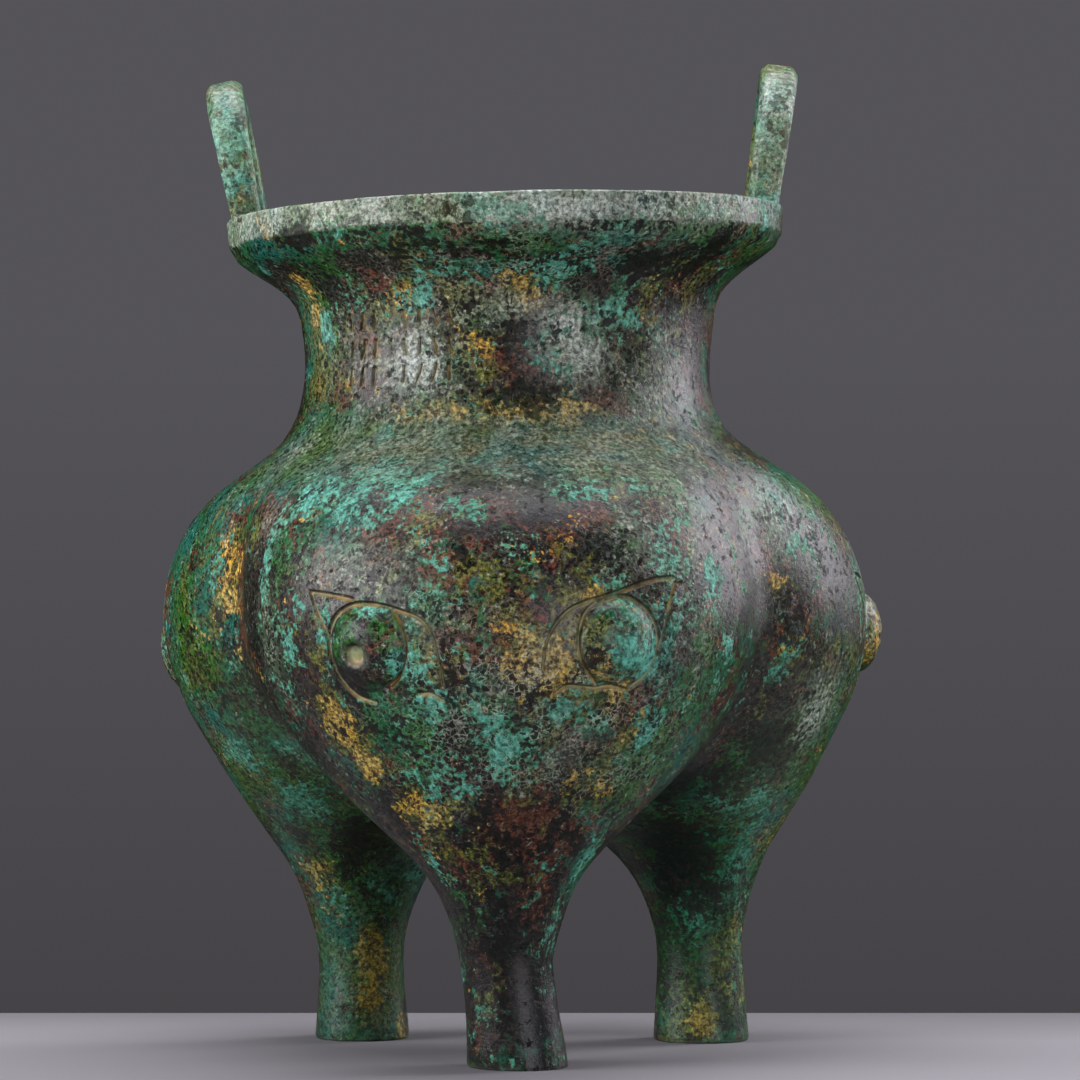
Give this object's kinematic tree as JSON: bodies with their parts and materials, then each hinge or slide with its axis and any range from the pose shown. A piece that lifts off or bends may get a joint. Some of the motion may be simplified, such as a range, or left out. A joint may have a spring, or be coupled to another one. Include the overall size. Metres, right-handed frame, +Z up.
{
  "type": "bronze tripod vessel",
  "caption": "Cast bronze tripod wine vessel with bulging hollow legs, a flaring banded mouth, upright loop handles and low mask eyes on the legs.",
  "frame": {"origin": "middle of the footprint box on the ground plane, under the soles", "axes": "+Z up, -Y towards the front leg, +X and -X towards the loop handles"},
  "size_m": [0.1512, 0.142, 0.2022],
  "materials": {
    "bronze": "old cast bronze, almost black, under a flaky skin of green, blue-green, ochre and red-brown corrosion"
  },
  "bodies": {
    "root": {"vessel": "bronze"}
  },
  "joints": []
}
